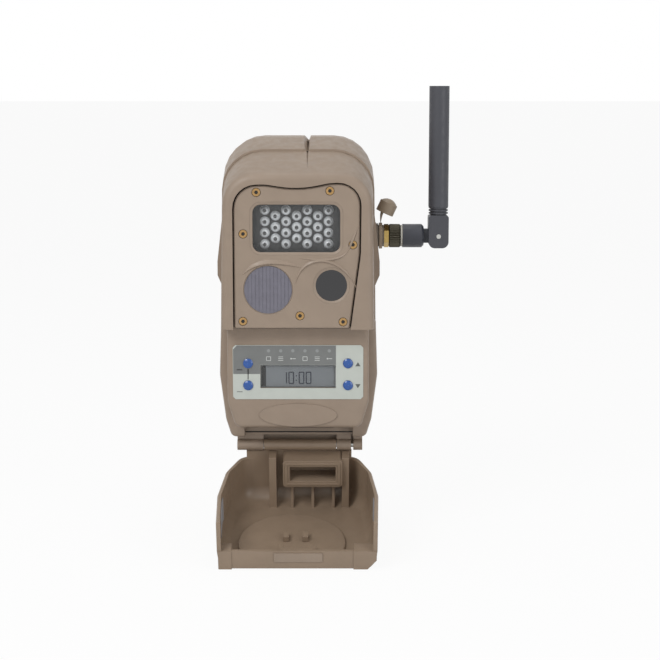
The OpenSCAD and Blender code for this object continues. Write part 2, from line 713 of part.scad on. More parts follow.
// --- Battery tray ---
tray_top = cell_z0 + cell_top + end_room;
tray_mid_d = (tray_d0 + tray_d1) / 2;
module battery_tray() color(dark_c) difference() {
    box([-tray_w / 2, tray_w / 2], [tray_d0, tray_d1], [-foot_h, tray_top]);
    box([-tray_w / 2 + tray_wall, tray_w / 2 - tray_wall], [tray_d0 + tray_wall, tray_d1 + 1],
        [-foot_h + wall, tray_top - tray_wall]);
    // finger hollow in the foot
    translate([0, -tray_d1, -foot_h]) rotate([90, 0, 0]) translate([0, 0, -4]) cylinder(r = 9, h = 5);
}
cell_centres = [-cell_r, cell_r];
module battery_cells() color("#c8a24a") for (i = [0, 1], j = [0, 1]) translate([cell_centres[i], -tray_mid_d,
        cell_z0 + j * cell_top / 2]) mirror([0, 0, i]) translate([0, 0, -i * cell_top / 2]) {
    cylinder(r = cell_r - 0.05, h = cell_l - 0.05);
    translate([0, 0, cell_l - 0.05]) cylinder(r = 4.7, h = cap_h);
}

// Coil of round wire whose radius shrinks from r0 to r1 over height h
function coil(r0, r1, h, turns, wire, steps) = [for (i = [0:turns * steps])
    let (f = i / (turns * steps), a = 360 * turns * f, r = r0 + (r1 - r0) * f)
    [for (k = [0:5]) let (b = 60 * k) [(r + wire * cos(b)) * cos(a), (r + wire * cos(b)) * sin(a),
        wire + (h - 2 * wire) * f + wire * sin(b)]]];
spring_wire = 0.5;
module spring(h) loft(coil(8, 4.5, h, 3.5, spring_wire, 14));
contact_t = 0.5;
module battery_springs() color(metal_c) {
    translate([cell_centres[0], -tray_mid_d, -foot_h + wall + contact_t]) spring(end_room - contact_t);
    translate([cell_centres[1], -tray_mid_d, tray_top - tray_wall - contact_t]) mirror([0, 0, 1])
        spring(end_room - tray_wall - contact_t);
}
// Bridge at the foot and two end plates at the top of the tray
module battery_contacts() color(metal_c) {
    box([-cell_r - 9, cell_r + 9], [tray_mid_d - 6, tray_mid_d + 6], [-foot_h + wall, -foot_h + wall + contact_t]);
    for (x = cell_centres) box([x - 9, x + 9], [tray_mid_d - 6, tray_mid_d + 6],
        [tray_top - tray_wall - contact_t, tray_top - tray_wall]);
}
module bay_contacts() color(metal_c) for (x = cell_centres)
    box([x - 6, x + 6], [tray_mid_d - 3, tray_mid_d + 3], [tray_top + 0.1, bay_top]);

// --- Door, drawn closed and then swung open ---
floor_z = hinge_z - door_drop;
floor_in = floor_z + door_wall;
door_rim_d = rim_d + door_gap;
door_in_d = door_d - door_wall;
function door_half(side, foot, top) = [[foot_half - 4.6 - side, floor_z + foot, 8],
    [waist[0] - side, waist[1], waist[2]], [bulge[0] - side, bulge[1], bulge[2]],
    [mid_half - side, -door_gap - top, 0.5]];

// Rings that round the front of the door, t inside its outer face
function door_front(t, steps) = [for (i = steps) let (a = 22.5 * i, r = door_r - t, k = r * (1 - cos(a)))
    ring(door_d - t - r * (1 - sin(a)), door_half(t + 0.55 * k, t + k, t))];

module door_shell() {
    loft(concat(door_front(door_wall, [4, 3, 2, 1, 0]),
        [ring(door_rim_d, door_half(door_wall, door_wall, door_wall)),
         ring(door_rim_d, door_half(0.6, 0.6, 0.4)), ring(door_rim_d + 0.8, door_half(0, 0, 0))],
        door_front(0, [0, 1, 2, 3, 4])));
}

// Collar that closes round the card slot; its top stops under the control panel
collar_off = knuckle_r + 0.6;
collar_top = -panel_h - door_gap - 1.1;
collar_in = collar_rim * 2 + collar_groove;
module collar_prism(inset, z0, z1) {
    translate([collar_x, -(hinge_d + collar_off + collar_h / 2), z0]) linear_extrude(z1 - z0)
        round_rect(collar_w - 2 * inset, collar_h - 2 * inset, max(2.2 - inset, 0.5));
}
groove_l = 1.2;
post_x = [-15.2, 27];
post_w = 4.2;
post_top = floor_in + 9.5;
rib_x = [for (i = [-1, 0, 1]) collar_x + i * 12];
rib_d0 = hinge_d + collar_off + collar_h;

// Rib from the collar to the front, its free edge sloping down
module door_rib(x, t, d0, top) {
    bar(x - t / 2, x + t / 2) polygon([[d0, floor_in - 0.5], [door_in_d + 0.3, floor_in - 0.5],
        [door_in_d + 0.3, floor_in + 11], [door_in_d - 2, floor_in + 11], [d0 + 6, top], [d0, top]]);
}

mouth_half = mid_half - door_wall - 0.2;
module door_closed() {
    difference() {
        union() {
            difference() {
                door_shell();
                // mouth between the lip and the control panel
                box([-mouth_half, mouth_half], [door_rim_d - 1, door_d - lip_depth], [-door_wall - 3, 1]);
            }
            // neck and hinge knuckle
            box([-neck_half, neck_half], [hinge_d + knuckle_r + 0.5, door_rim_d + 1], [floor_z, floor_in]);
            box([door_knuckle_x[0], door_knuckle_x[1]], [hinge_d, hinge_d + knuckle_r + 1], [floor_z, floor_in]);
            axle(door_knuckle_x[0], door_knuckle_x[1], hinge_d, hinge_z, knuckle_r);
            collar_prism(0, floor_z, collar_top);
            for (x = post_x) door_rib(x, post_w, hinge_d + 3.6, post_top);
            for (x = rib_x) door_rib(x, rib_t, rib_d0 - 0.5, post_top - 1);
            // catches for the latch tongue
            for (s = [-1, 1]) box([s * 9 - 1.2, s * 9 + 1.2], [door_in_d - 5, door_in_d + 0.5], [-13, -door_wall]);
        }
        collar_prism(collar_in, floor_in - 0.6, collar_top + 1);
        difference() {
            collar_prism(collar_rim, collar_top - groove_l, collar_top + 1);
            collar_prism(collar_rim + collar_groove, collar_top - groove_l - 1, collar_top + 2);
        }
        axle(door_knuckle_x[0] - 1, door_knuckle_x[1] + 1, hinge_d, hinge_z, pin_r + pin_gap);
        // slot that the latch is clipped into
        box([-latch_half, latch_half], [door_d - lip_depth + 1.5, door_d - lip_depth + 1.5 + latch_t],
            [-door_gap - door_wall - 1, 1]);
    }
}
latch_half = 9;
latch_t = 1.6;

// Swings a closed door piece to the door's open place
module swung() {
    translate([0, -hinge_d, hinge_z]) rotate([door_open, 0, 0]) translate([0, hinge_d, -hinge_z]) children();
}

module door() color(shell_c) swung() door_closed();
module collar_gasket() color("black") swung() difference() {
    collar_prism(collar_rim, collar_top - groove_l, collar_top + 0.4);
    collar_prism(collar_rim + collar_groove, collar_top - groove_l - 1, collar_top + 2);
}
module door_latch() color(shell_c) swung() {
    box([-latch_half, latch_half], [door_d - lip_depth + 1.5, door_d - lip_depth + 1.5 + latch_t],
        [-door_gap - door_wall - 4, -door_gap - 0.05]);
    box([-latch_half - 1.4, latch_half + 1.4], [door_d - lip_depth + 1.5, door_d - lip_depth + 1.5 + latch_t],
        [-door_gap - door_wall - 1.4, -door_gap - door_wall - 0.05]);
}
module hinge_pin() color(metal_c) axle(ear_x[0][0], ear_x[1][1], hinge_d, hinge_z, pin_r);

// Plain paper labels on the inside of the door's side walls
sticker_t = 0.2;
module sticker(s) color("#b9b6ae") swung() slab(door_rim_d + 4, door_in_d - 9) intersection() {
    difference() {
        polygon(rounded(mirrored(door_half(door_wall, door_wall, door_wall))));
        polygon(rounded(mirrored(door_half(door_wall + sticker_t, door_wall, door_wall))));
    }
    translate([s * mid_half, -24]) square([20, 20], center = true);
}
module sticker_left() sticker(-1);
module sticker_right() sticker(1);

// --- Antenna ---
boot_end = jack_out + boot_l;
nut_l = 2.6;
collar_x0 = boot_end + nut_l;
ring_l = 1;
base_x0 = collar_x0 + collar_l + ring_l;
elbow_x = base_x0 + base_l + elbow_off;
module jack_boot() color("#57504a") difference() {
    union() {
        axle(jack_out, boot_end, jack_d, jack_z, base_r - 0.5);
        axle(jack_out, jack_out + 1.2, jack_d, jack_z, base_r + 0.4);
    }
    axle(jack_out - 1, boot_end + 1, jack_d, jack_z, jack_r);
}
module antenna_jack() color("#b09a58") {
    axle(jack_in, collar_x0 + collar_l - 1, jack_d, jack_z, jack_r);
    axle(jack_in, mid_half - wall - 1, jack_d, jack_z, jack_r + 1.4);
}
module jack_nut() color(metal_c) difference() {
    translate([boot_end, -jack_d, jack_z]) rotate([0, 90, 0]) cylinder(r = base_r, h = nut_l, $fn = 6);
    axle(boot_end - 1, collar_x0 + 1, jack_d, jack_z, jack_r);
}
module antenna_collar() color("#3b3831") difference() {
    axle(collar_x0, collar_x0 + collar_l, jack_d, jack_z, base_r);
    axle(collar_x0 - 1, collar_x0 + collar_l - 1, jack_d, jack_z, jack_r);
}
module antenna_ring() color("#c9c6bc") axle(collar_x0 + collar_l, base_x0, jack_d, jack_z, base_r - 0.5);

tongue_t = 4;
fork_gap = 0.3;
module antenna_base() color("#373a43") difference() {
    union() {
        axle(base_x0, base_x0 + base_l - 1.2, jack_d, jack_z, base_r);
        translate([base_x0 + base_l - 1.2, -jack_d, jack_z]) rotate([0, 90, 0]) cylinder(r1 = base_r, r2 = base_r - 1.2, h = 1.2);
        box([base_x0 + base_l - 2, elbow_x], [jack_d - tongue_t / 2, jack_d + tongue_t / 2], [jack_z - 4, jack_z + 4]);
        stud(elbow_x, jack_z, 4, jack_d - tongue_t / 2, jack_d + tongue_t / 2);
    }
    stud(elbow_x, jack_z, elbow_r + pin_gap, jack_d - tongue_t, jack_d + tongue_t);
}
module elbow_pin() color(metal_c) stud(elbow_x, jack_z, elbow_r, jack_d - whip_r - 0.3, jack_d + whip_r + 0.3);

block_drop = 6.8;
block_rise = 12;
module antenna_whip() color("#4b4d55") difference() {
    union() {
        translate([elbow_x, 0, jack_z]) slab(jack_d - whip_r, jack_d + whip_r)
            polygon(rounded([[whip_r, -block_drop, 3.6], [whip_r, block_rise, 1.4], [-whip_r, block_rise, 1.4],
                [-whip_r, -block_drop, 3.6]]));
        for (i = [0:2]) translate([elbow_x, -jack_d, jack_z + block_rise + 1.6 * i]) {
            cylinder(r = whip_r - 1, h = 1.6);
            translate([0, 0, 0.8]) cylinder(r = whip_r - 0.2, h = 0.8);
        }
        translate([elbow_x, -jack_d, jack_z + block_rise + 4.8]) cylinder(r = whip_r, h = whip_l - block_rise - 4.8);
    }
    box([elbow_x - whip_r - 1, elbow_x + whip_r + 1],
        [jack_d - tongue_t / 2 - fork_gap, jack_d + tongue_t / 2 + fork_gap],
        [jack_z - block_drop - 1, jack_z + 5]);
    stud(elbow_x, jack_z, elbow_r, jack_d - whip_r - 1, jack_d + whip_r + 1);
}

// Rubber cap for the bare connector, on a strap looped round the boot
cap_r = 5.2;
cap_x = 51.2;
cap_z = 65;
strap_r = 0.9;
loop_x = jack_out + 2.6;
module dust_cap() color("#8f7f6f") {
    translate([cap_x, -jack_d, cap_z]) rotate([0, 25, 0]) translate([0, 0, -4.2]) {
        cylinder(r = cap_r, h = 6.4);
        intersection() {
            translate([0, 0, 2.4]) sphere(cap_r + 1);
            translate([0, 0, 6.4]) cylinder(r = cap_r, h = 3);
        }
    }
    // loop and strap
    translate([loop_x, -jack_d, jack_z]) rotate([0, 90, 0]) rotate_extrude()
        translate([base_r - 0.45, -strap_r]) square([1.2, 2 * strap_r]);
    loft([for (i = [0:10]) let (f = i / 10, a = 90 * f,
        c = [loop_x + (cap_x - 3 - jack_out - 2.4) * (1 - cos(a)) , -jack_d,
             jack_z + base_r + (cap_z - 3.4 - jack_z - base_r) * sin(a)])
        [for (k = [0:7]) c + strap_r * [cos(45 * k) * sin(a * 0.8 + 5), sin(45 * k), -cos(45 * k) * cos(a * 0.8 + 5)]]]);
}

// --- Tree mount ---
module tripod_insert() color("#b09a58") difference() {
    stud(0, 0, insert_r, 0, tripod_l);
    stud(0, 0, tripod_r, -1, tripod_l - 0.8);
}

rear_housing();
front_housing();
housing_gasket();
housing_screws();
bezel();
bezel_gasket();
bezel_screws();
led_window();
lamp_tray();
led_board();
ir_leds();
pir_lens();
pir_sensor();
lens_window();
lens_barrel();
sensor_board();
main_board();
radio_module();
control_board();
panel_label();
lcd_glass();
lcd_module();
status_leds();
button_mode();
button_more();
button_up();
button_down();
tact_switches();
card_socket();
memory_card();
battery_tray();
battery_cells();
battery_springs();
battery_contacts();
bay_contacts();
door();
collar_gasket();
door_latch();
hinge_pin();
sticker_left();
sticker_right();
antenna_jack();
jack_boot();
jack_nut();
dust_cap();
antenna_collar();
antenna_ring();
antenna_base();
elbow_pin();
antenna_whip();
tripod_insert();
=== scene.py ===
"""Looks of the trail camera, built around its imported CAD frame.

The frame and the scene are in metres. The helpers that make pieces take millimetres, as (x, depth, z),
where depth is the distance in front of the origin, towards -Y.
"""
import bpy
import json
import math
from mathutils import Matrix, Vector


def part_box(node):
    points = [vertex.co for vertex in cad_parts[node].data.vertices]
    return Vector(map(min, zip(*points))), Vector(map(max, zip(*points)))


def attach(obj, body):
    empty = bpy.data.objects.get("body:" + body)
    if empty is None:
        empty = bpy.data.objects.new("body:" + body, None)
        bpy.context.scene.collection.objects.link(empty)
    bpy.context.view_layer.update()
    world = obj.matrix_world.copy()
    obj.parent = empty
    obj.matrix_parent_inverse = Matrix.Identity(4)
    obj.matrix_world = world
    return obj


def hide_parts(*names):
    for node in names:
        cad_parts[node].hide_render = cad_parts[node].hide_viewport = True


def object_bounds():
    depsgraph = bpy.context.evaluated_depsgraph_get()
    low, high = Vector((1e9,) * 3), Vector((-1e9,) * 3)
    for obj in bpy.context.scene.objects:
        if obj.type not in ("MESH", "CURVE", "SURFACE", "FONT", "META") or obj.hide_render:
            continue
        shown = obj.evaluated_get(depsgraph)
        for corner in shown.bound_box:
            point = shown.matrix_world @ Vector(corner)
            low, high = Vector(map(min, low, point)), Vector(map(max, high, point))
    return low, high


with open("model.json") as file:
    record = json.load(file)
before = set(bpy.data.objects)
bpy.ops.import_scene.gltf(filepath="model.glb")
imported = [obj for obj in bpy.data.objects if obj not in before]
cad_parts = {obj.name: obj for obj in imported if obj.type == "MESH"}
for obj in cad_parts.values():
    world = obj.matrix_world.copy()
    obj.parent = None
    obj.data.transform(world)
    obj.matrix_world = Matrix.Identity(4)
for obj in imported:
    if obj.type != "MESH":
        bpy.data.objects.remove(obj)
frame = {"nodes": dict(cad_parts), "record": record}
cad_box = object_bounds()
NODES = frame["nodes"]
MM = 0.001
WHITE = (1, 1, 1, 1)


# ---------------------------------------------------------------- materials
NOISE_LOW, NOISE_HIGH = 0.35, 0.65      # most values of a noise texture lie between these
MIX_A, MIX_B, MIX_RESULT = 6, 7, 2      # the Mix node's colour sockets, whose names aren't unique


def linear(rgb):
    """Linear RGBA of an 8-bit sRGB colour, by the sRGB curve."""
    return [c / 255 / 12.92 if c <= 10 else ((c / 255 + 0.055) / 1.055) ** 2.4 for c in rgb] + [1.0]


class Mat:
    """A procedural material: a Principled shader fed by noise; .made is the Blender material.

    vary, rough and grain each return the Mat, so that they can be chained.
    """

    def __init__(self, name, color, rough, **sockets):
        self.made = bpy.data.materials.new(name)
        self.made.use_nodes = True
        self.tree = self.made.node_tree
        self.shader = self.tree.nodes["Principled BSDF"]
        self.color = linear(color)
        self.shader.inputs["Base Color"].default_value = self.color
        self.shader.inputs["Roughness"].default_value = rough
        for socket, value in sockets.items():
            self.shader.inputs[socket.replace("_", " ")].default_value = value
        self.coords = self.node("ShaderNodeTexCoord").outputs["Object"]

    def node(self, kind, **values):
        """New node; each value goes to the input of that name, or else to the setting."""
        new = self.tree.nodes.new(kind)
        for name, value in values.items():
            if name in new.inputs:
                new.inputs[name].default_value = value
            else:
                setattr(new, name, value)
        return new

    def link(self, source, target):
        self.tree.links.new(source, target)

    def noise(self, scale_mm, detail=2.0):
        texture = self.node("ShaderNodeTexNoise", Scale=1 / (scale_mm * MM), Detail=detail)
        self.link(self.coords, texture.inputs["Vector"])
        return texture.outputs["Fac"]

    def spread(self, noise, low, high):
        """Noise stretched to run from low to high."""
        span = {"From Min": NOISE_LOW, "From Max": NOISE_HIGH, "To Min": low, "To Max": high}
        stretched = self.node("ShaderNodeMapRange", **span)
        self.link(noise, stretched.inputs["Value"])
        return stretched.outputs["Result"]

    def vary(self, amount, scale_mm):
        """Mottles the base colour, by amount darker and paler."""
        mix = self.node("ShaderNodeMix", data_type="RGBA")
        mix.inputs[MIX_A].default_value = [c * (1 - amount) for c in self.color[:3]] + [1]
        mix.inputs[MIX_B].default_value = [min(1, c * (1 + amount)) for c in self.color[:3]] + [1]
        self.link(self.spread(self.noise(scale_mm, 3), 0, 1), mix.inputs["Factor"])
        self.link(mix.outputs[MIX_RESULT], self.shader.inputs["Base Color"])
        return self

    def rough(self, low, high, scale_mm):
        """Lets the roughness wander from low to high."""
        self.link(self.spread(self.noise(scale_mm), low, high), self.shader.inputs["Roughness"])
        return self

    def grain(self, scale_mm, depth_mm, edge_mm=0.0):
        """Moulded grain as bump, with the edges shaded as if rounded by edge_mm."""
        bump = self.node("ShaderNodeBump", Strength=1.0, Distance=depth_mm * MM)
        self.link(self.noise(scale_mm), bump.inputs["Height"])
        if edge_mm:
            bevel = self.node("ShaderNodeBevel", samples=6, Radius=edge_mm * MM)
            self.link(bevel.outputs["Normal"], bump.inputs["Normal"])
        self.link(bump.outputs["Normal"], self.shader.inputs["Normal"])
        return self


def plastic(name, color, rough, edge, depth=0.006):
    """Moulded plastic or rubber: faint mottling, uneven gloss, fine grain and rounded edges."""
    mottled = Mat(name, color, rough).vary(0.03, 9)
    return mottled.rough(rough - 0.06, rough + 0.08, 4).grain(0.25, depth, edge).made


HOUSING = plastic("housing_moulding", (150, 133, 117), 0.46, edge=0.45)
BEZEL = plastic("bezel_moulding", (152, 135, 119), 0.42, edge=0.3)
DOOR = plastic("door_moulding", (147, 128, 109), 0.36, edge=0.4, depth=0.004)
GASKET = plastic("gasket_rubber", (22, 18, 16), 0.7, edge=0.1)
BLACK = plastic("black_moulding", (26, 26, 28), 0.5, edge=0.2)
TRAY = plastic("tray_moulding", (44, 42, 41), 0.5, edge=0.3)
BOOT = plastic("boot_rubber", (112, 101, 88), 0.5, edge=0.2)
CAP = plastic("cap_rubber", (148, 132, 113), 0.5, edge=0.3)
ANTENNA = plastic("antenna_moulding", (52, 54, 62), 0.42, edge=0.25)
WHIP = plastic("whip_rubber", (66, 67, 73), 0.46, edge=0.25)

SCREW = Mat("screw_passivated", (176, 142, 96), 0.3, Metallic=1.0).vary(0.12, 0.8).rough(0.24, 0.4, 0.5).made
STEEL = Mat("steel", (190, 190, 186), 0.3, Metallic=1.0).vary(0.06, 2).rough(0.22, 0.4, 0.8).made
NICKEL = Mat("nickel_contacts", (200, 198, 190), 0.25, Metallic=1.0).vary(0.05, 2).rough(0.2, 0.35, 0.8).made
TIN = Mat("tin_shield", (180, 182, 182), 0.35, Metallic=1.0).vary(0.06, 3).rough(0.3, 0.45, 1).made
BRASS = Mat("brass", (176, 150, 92), 0.28, Metallic=1.0).vary(0.06, 1.5).rough(0.22, 0.36, 0.7).made
COLLAR = Mat("collar_metal", (78, 74, 62), 0.34, Metallic=0.7).vary(0.12, 1).rough(0.28, 0.42, 0.5).made

BOARD = Mat("board_green", (32, 84, 54), 0.4).vary(0.2, 3).made
BOARD_BLACK = Mat("board_black", (18, 19, 21), 0.4).vary(0.2, 2).rough(0.3, 0.5, 1).made
CLEAR = Mat("clear_window", (236, 238, 238), 0.04, Alpha=0.04, IOR=1.45).rough(0.03, 0.06, 8).made
EPOXY = Mat("lamp_epoxy", (214, 217, 220), 0.12, Coat_Weight=0.5).vary(0.12, 1).made
DIE = Mat("lamp_die", (30, 31, 33), 0.2, Coat_Weight=0.5).vary(0.2, 0.6).made
PIR = Mat("sensor_lens", (114, 112, 123), 0.32).vary(0.05, 3).made
GLASS = Mat("dark_glass", (24, 24, 27), 0.03, Coat_Weight=0.6).vary(0.05, 4).made
KEY = Mat("key_blue", (30, 82, 158), 0.22, Coat_Weight=0.3).vary(0.06, 1.5).rough(0.18, 0.3, 1).made
STATUS = Mat("status_pipe", (150, 153, 152), 0.25).vary(0.03, 1).made
RING = Mat("ring_plastic", (206, 203, 193), 0.4).vary(0.03, 1.5).made
CELL = Mat("cell_wrap", (169, 134, 66), 0.3).vary(0.05, 8).made

LABEL = Mat("label_film", (194, 199, 192), 0.42).vary(0.02, 6).rough(0.36, 0.5, 3).made
LABEL_GREY = Mat("label_print_grey", (119, 121, 120), 0.42).vary(0.03, 5).rough(0.36, 0.5, 3).made
PRINT_PALE = Mat("label_print_pale", (206, 209, 206), 0.45).vary(0.02, 2).made
PRINT_DARK = Mat("label_print_dark", (92, 95, 92), 0.45).vary(0.03, 2).made
DISPLAY = Mat("display_face", (118, 123, 127), 0.3).vary(0.02, 6).made
DIGIT = Mat("display_digit", (18, 26, 42), 0.35).vary(0.05, 2).made
PAPER = Mat("sticker_paper", (168, 172, 180), 0.4).vary(0.04, 2).grain(0.6, 0.01).made

BY_SLOT = {
    "housing_plastic": HOUSING, "gasket_rubber": GASKET, "screw_steel": SCREW, "steel_parts": STEEL,
    "contact_metal": NICKEL, "shield_tin": TIN, "board_green": BOARD, "board_black": BOARD_BLACK,
    "black_plastic": BLACK, "tray_plastic": TRAY, "clear_window": CLEAR, "lamp_epoxy": EPOXY,
    "sensor_lens": PIR, "dark_glass": GLASS, "label_film": LABEL, "display": DISPLAY,
    "status_lens": STATUS, "key_rubber": KEY, "cell_wrap": CELL, "paper": PAPER, "jack_brass": BRASS,
    "boot_rubber": BOOT, "cap_rubber": CAP, "collar_metal": COLLAR, "ring_plastic": RING,
    "antenna_plastic": ANTENNA, "whip_rubber": WHIP}
# Nodes whose finish differs from the rest of their slot.
BY_NODE = {"bezel": BEZEL, "door": DOOR, "door_latch": DOOR, "jack_nut": BRASS, "collar_gasket": DOOR}

WELD_MM = 0.002
SMOOTH_DEGREES = 32


def smoothing():
    """Modifier group that welds a mesh and shades it smooth, but not across its sharp edges."""
    group = bpy.data.node_groups.new("weld_and_smooth", "GeometryNodeTree")
    group.interface.new_socket("Geometry", in_out="INPUT", socket_type="NodeSocketGeometry")
    group.interface.new_socket("Geometry", in_out="OUTPUT", socket_type="NodeSocketGeometry")
    start = group.nodes.new("NodeGroupInput")
    end = group.nodes.new("NodeGroupOutput")
    weld = group.nodes.new("GeometryNodeMergeByDistance")
    weld.inputs["Distance"].default_value = WELD_MM * MM
    angle = group.nodes.new("GeometryNodeInputMeshEdgeAngle")
    sharp = group.nodes.new("FunctionNodeCompare")
    sharp.data_type = "FLOAT"
    sharp.operation = "GREATER_THAN"
    sharp.inputs[1].default_value = math.radians(SMOOTH_DEGREES)
    faces = group.nodes.new("GeometryNodeSetShadeSmooth")
    faces.domain = "FACE"
    edges = group.nodes.new("GeometryNodeSetShadeSmooth")
    edges.domain = "EDGE"
    edges.inputs["Shade Smooth"].default_value = False
    group.links.new(start.outputs[0], weld.inputs["Geometry"])
    group.links.new(weld.outputs[0], faces.inputs["Geometry"])
    group.links.new(faces.outputs[0], edges.inputs["Geometry"])
    group.links.new(angle.outputs["Unsigned Angle"], sharp.inputs[0])
    group.links.new(sharp.outputs[0], edges.inputs["Selection"])
    group.links.new(edges.outputs[0], end.inputs[0])
    return group


SMOOTH = smoothing()
slot_of = {part["node"]: part["material_slot"] for part in frame["record"]["subparts"]}
for name, node in NODES.items():
    node.data.materials.clear()
    node.data.materials.append(BY_NODE.get(name) or BY_SLOT[slot_of[name]])
    node.modifiers.new("smooth", "NODES").node_group = SMOOTH


# ---------------------------------------------------------------- camera, light and floor
CAM_X, CAM_Y, CAM_Z = 0.01804, -0.98292, 0.14079
AIM_Y = -0.094
SENSOR, LENS = 36, 88.45
LIT_POINT = (0, -0.06, 0)
FLOOR_SIZE, FLOOR_GAP = 30, 0.0005
FLOOR_SHADOW = 0.08         # how much of the shaded floor shows in its white
SOFT_LIGHT = 0.33           # strength of the world's light on the object


def look_at(thing, target):
    thing.rotation_mode = "QUATERNION"
    thing.rotation_quaternion = (Vector(target) - thing.location).to_track_quat("-Z", "Y")


def area(name, where, width, height, watts):
    """Rectangular lamp that points at the camera body."""
    light = bpy.data.lights.new(name, "AREA")
    light.shape = "RECTANGLE"
    light.size = width
    light.size_y = height
    light.energy = watts
    lamp = bpy.data.objects.new(name, light)
    bpy.context.scene.collection.objects.link(lamp)
    lamp.location = where
    look_at(lamp, LIT_POINT)


def white_backdrop(tree, shaded, white):
    """Shows white to the camera, to gloss and to glass, and the shaded look to all other rays."""
    path = tree.nodes.new("ShaderNodeLightPath")
    either, any_of = (tree.nodes.new("ShaderNodeMath") for _ in range(2))
    either.operation = any_of.operation = "MAXIMUM"
    tree.links.new(path.outputs["Is Camera Ray"], either.inputs[0])
    tree.links.new(path.outputs["Is Glossy Ray"], either.inputs[1])
    tree.links.new(either.outputs[0], any_of.inputs[0])
    tree.links.new(path.outputs["Is Transmission Ray"], any_of.inputs[1])
    mix = tree.nodes.new("ShaderNodeMixShader")
    tree.links.new(any_of.outputs[0], mix.inputs[0])
    tree.links.new(shaded, mix.inputs[1])
    tree.links.new(white, mix.inputs[2])
    return mix.outputs[0]


def floor_finish():
    """Matt white; what the camera sees of it is mostly plain white, with a faint shadow."""
    finish = bpy.data.materials.new("floor_white")
    finish.use_nodes = True
    tree = finish.node_tree
    matt = tree.nodes["Principled BSDF"]
    matt.inputs["Base Color"].default_value = (0.96, 0.96, 0.96, 1)
    matt.inputs["Roughness"].default_value = 0.9
    glow = tree.nodes.new("ShaderNodeEmission")
    glow.inputs["Strength"].default_value = 1.0
    shadow = tree.nodes.new("ShaderNodeMixShader")
    shadow.inputs[0].default_value = FLOOR_SHADOW
    seen = white_backdrop(tree, matt.outputs[0], shadow.outputs[0])
    tree.links.new(glow.outputs[0], shadow.inputs[1])
    tree.links.new(matt.outputs[0], shadow.inputs[2])
    tree.links.new(seen, tree.nodes["Material Output"].inputs["Surface"])
    return finish


def studio():
    """World with a soft light, seen as plain white."""
    world = bpy.data.worlds.new("studio")
    world.use_nodes = True
    tree = world.node_tree
    soft = tree.nodes["Background"]
    soft.inputs["Color"].default_value = WHITE
    soft.inputs["Strength"].default_value = SOFT_LIGHT
    white = tree.nodes.new("ShaderNodeBackground")
    white.inputs["Color"].default_value = WHITE
    white.inputs["Strength"].default_value = 1.0
    sky = white_backdrop(tree, soft.outputs[0], white.outputs[0])
    tree.links.new(sky, tree.nodes["World Output"].inputs["Surface"])
    return world


cam = bpy.data.objects.new("camera", bpy.data.cameras.new("camera"))
bpy.context.scene.collection.objects.link(cam)
cam.data.sensor_width = SENSOR
cam.data.lens = LENS
cam.location = (CAM_X, CAM_Y, CAM_Z)
look_at(cam, (CAM_X, AIM_Y, 0))
bpy.context.scene.camera = cam

area("key", (-0.55, -0.9, 0.75), width=0.5, height=0.5, watts=6.2)
area("fill", (0.8, -0.8, 0.3), width=0.4, height=0.8, watts=2.4)
area("top", (0.0, -0.1, 1.1), width=0.9, height=0.6, watts=2.6)

lowest = cad_box[0]
bpy.ops.mesh.primitive_plane_add(size=FLOOR_SIZE, location=(0, 0, lowest.z - FLOOR_GAP))
floor = bpy.context.object
floor.name = "floor"
floor.data.materials.append(floor_finish())
bpy.context.scene.world = studio()
bpy.context.scene.view_settings.view_transform = "Standard"


# ---------------------------------------------------------------- building helpers, in millimetres
CORNER_STEPS = 8


def piece(name, solids, material, body):
    """One object out of (points, faces) solids, which rides on a body."""
    points, faces = [], []
    for solid_points, solid_faces in solids:
        faces += [[len(points) + i for i in face] for face in solid_faces]
        points += [(x * MM, -d * MM, z * MM) for x, d, z in solid_points]
    mesh = bpy.data.meshes.new(name)
    mesh.from_pydata(points, [], faces)
    mesh.materials.append(material)
    o = bpy.data.objects.new(name, mesh)
    bpy.context.scene.collection.objects.link(o)
    o.modifiers.new("smooth", "NODES").node_group = SMOOTH
    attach(o, body)
    return o


def loft(rings):
    """Skin over rings with the same number of points, with both ends closed."""
    n, last = len(rings[0]), len(rings) - 1
    faces = [[k * n + i, k * n + (i + 1) % n, (k + 1) * n + (i + 1) % n, (k + 1) * n + i]
             for k in range(last) for i in range(n)]
    faces += [list(range(n))[::-1], list(range(last * n, (last + 1) * n))]
    return [point for ring in rings for point in ring], faces


def at_depth(outline, d):
    """Points of an x-z outline, set at a depth."""
    return [(x, d, z) for x, z in outline]


def slab(outline, d0, d1):
    """Prism over an x-z outline that runs anticlockwise, between two depths."""
    return loft([at_depth(outline, d0), at_depth(outline, d1)])


def upright(outline, z0, z1):
    """Prism over an x-depth outline, between two heights."""
    return loft([[(x, d, z) for x, d in outline] for z in (z0, z1)])


def bar(x0, x1, z0, z1):
    """Corners of a rectangle."""
    return [(x0, z0), (x1, z0), (x1, z1), (x0, z1)]


def disc(x, z, r, n):
    """Circle of n points."""
    return [(x + r * math.cos(2 * math.pi * i / n), z + r * math.sin(2 * math.pi * i / n)) for i in range(n)]


def round_rect(x, z, w, h, r):
    """Rectangle with rounded corners, about its middle."""
    outline = []
    for k, (sx, sz) in enumerate(((1, 1), (-1, 1), (-1, -1), (1, -1))):
        for i in range(CORNER_STEPS + 1):
            a = math.pi / 2 * (k + i / CORNER_STEPS)
            outline.append((x + sx * (w / 2 - r) + r * math.cos(a), z + sz * (h / 2 - r) + r * math.sin(a)))
    return outline


def front(node):
    """Foremost depth of a node."""
    return -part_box(node)[0][1] / MM


CAMERA = "camera_body"
DOOR_BODY = "door_body"
BEZEL_D = front("bezel")
WINDOW_D = front("led_window")
LABEL_D = front("panel_label")


